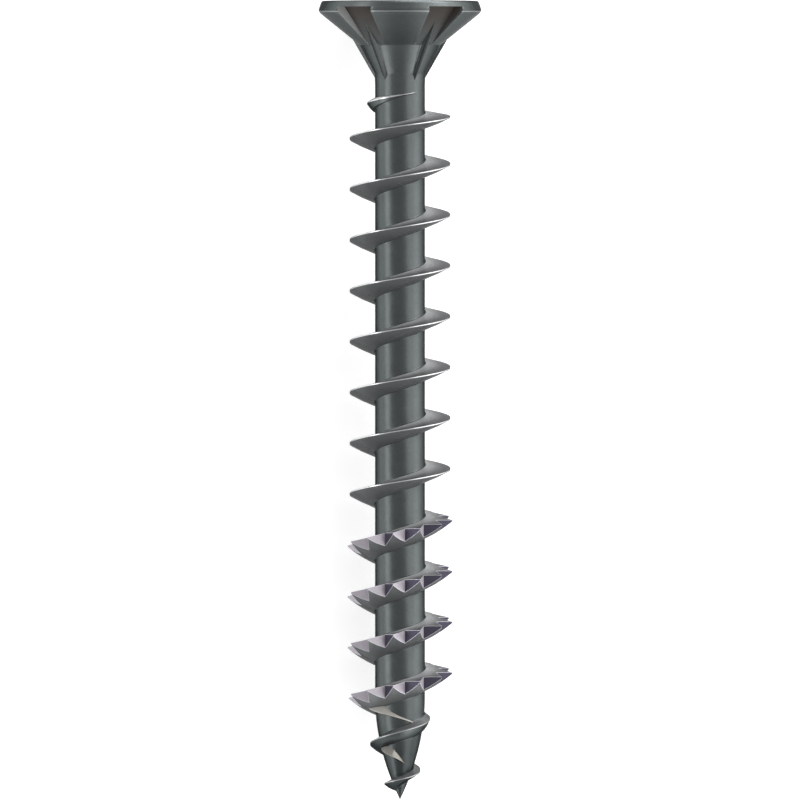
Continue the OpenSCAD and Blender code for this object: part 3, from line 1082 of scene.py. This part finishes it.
def mixed_colour(tree, share_of_second, first, second):
    """A mix of two colours, of which the first may be a link."""
    if not isinstance(first, bpy.types.NodeSocket):
        first = (*first, 1)
    kind = {"data_type": "RGBA"}
    second = (*second, 1)
    mixer = node(tree, "ShaderNodeMix", kind, Factor=share_of_second, _6=first, _7=second)
    return mixer[2]


def new_material(name):
    """A material, with its tree and its shader."""
    material = bpy.data.materials.new(name)
    material.use_nodes = True
    tree = material.node_tree
    return material, tree, next(n for n in tree.nodes if n.type == "BSDF_PRINCIPLED")


def finish_material(name, groups, plain, tint, metallic, roughness, relief, edge_tint, fade):
    """One finish of the screw: a colour that the mottle tints, with rough and relief detail.

    A fade is (kind, colour, place with none of it, place with all of it), where the kind is
    "height" along the axis or "radius" from it, or it is None.
    """
    material, tree, shader = new_material(name)
    mottle = node(tree, "ShaderNodeGroup", {"node_tree": groups["mottle"]})
    rolling = node(tree, "ShaderNodeGroup", {"node_tree": groups["rolling"]})
    grain, marks = mottle["Grain"], rolling["Marks"]
    base = mixed_colour(tree, mottle["Patches"], plain, tint)
    shade = in_range(tree, grain, To_Min=1 - GRAIN_SHADE, To_Max=1 + GRAIN_SHADE)
    if fade:
        kind, colour_there, none, whole = fade
        mask = node(
            tree, "ShaderNodeGroup", {"node_tree": groups[kind]}, From=none * MM, To=whole * MM
        )
        base = mixed_colour(tree, mask["Mask"], base, colour_there)
    toned = node(tree, "ShaderNodeHueSaturation", Color=base, Value=shade)
    smoothest, roughest = roughness - ROUGH_SPREAD, roughness + ROUGH_SPREAD
    rough = in_range(tree, marks, To_Min=smoothest, To_Max=roughest)
    parts = ((grain, GRAIN_RELIEF), (marks, MARK_RELIEF))
    height = math_node(tree, "ADD", *[math_node(tree, "MULTIPLY", *part) for part in parts])
    bump = node(tree, "ShaderNodeBump", Height=height, Strength=relief, Distance=RELIEF_DEPTH)
    feed(
        tree,
        shader,
        Base_Color=toned[0],
        Roughness=rough,
        Normal=bump[0],
        Metallic=metallic,
        Specular_IOR_Level=PLAIN_REFLECTION,
        Specular_Tint=(edge_tint, edge_tint, edge_tint, 1),
    )
    return material


def floor_material(look):
    """Pale floor that is seen as white and keeps the shadow."""
    material, tree, shader = new_material("pale floor")
    feed(tree, shader, Base_Color=(*look.floor, 1), Roughness=0.9, Specular_IOR_Level=0.0)
    path = node(tree, "ShaderNodeLightPath")
    rays = [path[f"Is {kind} Ray"] for kind in ("Camera", "Glossy", "Transmission")]
    seen = math_node(tree, "MAXIMUM", rays[0], math_node(tree, "MAXIMUM", *rays[1:]))
    glow = math_node(tree, "MULTIPLY", seen, look.floor_white)
    feed(tree, shader, Emission_Color=(1, 1, 1, 1), Emission_Strength=glow)
    return material


def area_lamp(name, place, target, size, watts):
    """A soft lamp that faces a point."""
    data = bpy.data.lights.new(name, "AREA")
    data.shape = "RECTANGLE"
    data.size, data.size_y = size
    data.energy = watts
    lamp = placed(name, data)
    lamp.location = place
    lamp.rotation_euler = (Vector(target) - Vector(place)).to_track_quat("-Z", "Y").to_euler()
    lamp.visible_camera = False


# Lamps: name, place, what they face, and size
MIDDLE = (0.0, 0.0, 0.004)
HEADWARD = (0.0, 0.21, 0.004)
LAMPS = (
    ("left lamp", (-0.3, 0.0, 0.125), MIDDLE, (0.9, 0.12)),
    ("right lamp", (0.3, 0.21, 0.09), HEADWARD, (0.56, 0.17)),
    ("head lamp", (0.14, 0.32, 0.14), MIDDLE, (0.4, 0.12)),
    ("high lamp", (0.22, 0.0, 0.26), MIDDLE, (0.9, 0.2)),
    ("right point lamp", (0.22, -0.27, 0.07), MIDDLE, (0.22, 0.12)),
    ("left point lamp", (-0.24, -0.24, 0.05), MIDDLE, (0.2, 0.1)),
)
FLOOR_REACH = 1.0
# Curved surfaces are shaded smooth across edges up to this angle
SHARP_DEG = 32


# Operators


class SCREW_OT_add_screw(bpy.types.Operator):
    """Build the multi-purpose screw, one closed piece of coated steel"""

    bl_idname = "screw.add_screw"
    bl_label = "Multi-purpose screw"

    def execute(self, context):
        form = ScrewForm(context.scene.screw_sizes)
        finish = context.scene.screw_finish
        place = RestingPlace(form)
        groups = {
            "mottle": mottle_group(place),
            "rolling": rolling_group(place),
            "height": fade_group(place, "Height fade", 0.01, True),
            "radius": fade_group(place, "Radius fade", 0.001, False),
        }
        low_end, roof = form.screw_l - form.cone_h, form.screw_l - form.pocket_roof
        low_rib = form.counter_z - form.counter_gap
        # From here outwards the upper flank has none of its root's painted highlight
        far_out = mix((form.thread_d + form.core_d) / 4, form.cusp_r, 0.6)
        fades = {
            # Painted shade, darker towards the point
            "coated steel": ("height", finish.tip, form.taper_l, form.thread_end),
            # Painted shade in the pockets, darkest near the rim
            "pocket floor": ("height", finish.pocket_low, roof, low_end),
            # Painted highlight on the counter ribs, less bright towards the point
            "rubbed counter rib": ("height", finish.counter_low, form.counter_z, low_rib),
            # Painted highlight, lighter towards the core
            "upper flank": ("radius", finish.upper_root, far_out, form.core_r),
        }
        materials = []
        for name, key, metallic, relief in LOOKS:
            plain = getattr(finish, key)
            thin = finish.coat_thin if key == "coat" else plain
            glance = finish.cone_tint if name == "wide cone" else finish.edge_tint
            rough = finish.roughness - (CREST_POLISH if name == "worn crest" else 0)
            fade = fades.get(name)
            metal = finish.metallic if metallic is None else metallic
            materials.append(
                finish_material(name, groups, plain, thin, metal, rough, relief, glance, fade)
            )
        skin = Skin()
        head(skin, form, threaded_shank(skin, form))
        piece = body_from(skin, "screw_body", materials)
        for crossing in COUNTER_RIBS:
            other = body_from(counter_rib(form, *crossing), "counter_rib", materials)
            context.view_layer.update()
            joined(piece, other)
        piece.data.transform(place.matrix)
        piece.data.shade_smooth()
        piece.data.set_sharp_from_angle(angle=math.radians(SHARP_DEG))
        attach(piece, "root")
        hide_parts("screw")
        return {"FINISHED"}


class SCREW_OT_add_stage(bpy.types.Operator):
    """Set up the pale floor, the soft lamps and the camera"""

    bl_idname = "screw.add_stage"
    bl_label = "Stage"

    def execute(self, context):
        look = context.scene.stage_look
        scene = context.scene
        mesh = bpy.data.meshes.new("floor")
        signs = ((-1, -1), (1, -1), (1, 1), (-1, 1))
        corners = [(x * FLOOR_REACH, y * FLOOR_REACH, 0) for x, y in signs]
        mesh.from_pydata(corners, [], [(0, 1, 2, 3)])
        mesh.materials.append(floor_material(look))
        floor = placed("floor", mesh)

        world = bpy.data.worlds.new("room")
        world.use_nodes = True
        back = next(n for n in world.node_tree.nodes if n.type == "BACKGROUND")
        feed(world.node_tree, back, Color=(1, 1, 1, 1), Strength=look.world)
        scene.world = world

        for name, place, target, size in LAMPS:
            area_lamp(name, place, target, size, getattr(look, name.replace(" ", "_")))

        form = ScrewForm(context.scene.screw_sizes)
        place = RestingPlace(form)
        front = place.direction(form.front_deg)
        up = place.matrix.to_3x3() @ Vector((0, 0, 1))
        side = up.cross(front)
        data = bpy.data.cameras.new("camera")
        data.lens = look.lens
        distance = look.seen_width * look.lens / data.sensor_width
        data.clip_start, data.clip_end = 0.1, 10.0
        camera = placed("camera", data)
        aim = place.matrix @ Vector((0, 0, look.view_height)) + side * look.view_side
        camera.location = aim + front * distance
        camera.rotation_euler = Matrix((side, up, front)).transposed().to_euler()
        scene.camera = camera
        scene.view_settings.view_transform = "Standard"
        return {"FINISHED"}


class SCREW_PT_sidebar(bpy.types.Panel):
    """Sizes, finishes and builders of the screw"""

    bl_label = "Multi-purpose screw"
    bl_idname = "SCREW_PT_sidebar"
    bl_space_type = "VIEW_3D"
    bl_region_type = "UI"
    bl_category = "Screw"

    def draw(self, context):
        scene = context.scene
        for owner in (scene.screw_sizes, scene.screw_finish, scene.stage_look):
            box = self.layout.box()
            for name in type(owner).__annotations__:
                box.prop(owner, name)
        for builder in BUILDERS:
            self.layout.operator(builder.bl_idname)


BUILDERS = (SCREW_OT_add_screw, SCREW_OT_add_stage)
CLASSES = (ScrewSizes, ScrewFinish, StageLook, *BUILDERS, SCREW_PT_sidebar)


def register():
    for cls in CLASSES:
        bpy.utils.register_class(cls)
    bpy.types.Scene.screw_sizes = PointerProperty(type=ScrewSizes)
    bpy.types.Scene.screw_finish = PointerProperty(type=ScrewFinish)
    bpy.types.Scene.stage_look = PointerProperty(type=StageLook)


def unregister():
    del bpy.types.Scene.stage_look
    del bpy.types.Scene.screw_finish
    del bpy.types.Scene.screw_sizes
    for cls in reversed(CLASSES):
        bpy.utils.unregister_class(cls)


def main():
    register()
    bpy.ops.screw.add_screw()
    bpy.ops.screw.add_stage()
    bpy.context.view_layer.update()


if __name__ == "__main__":
    main()
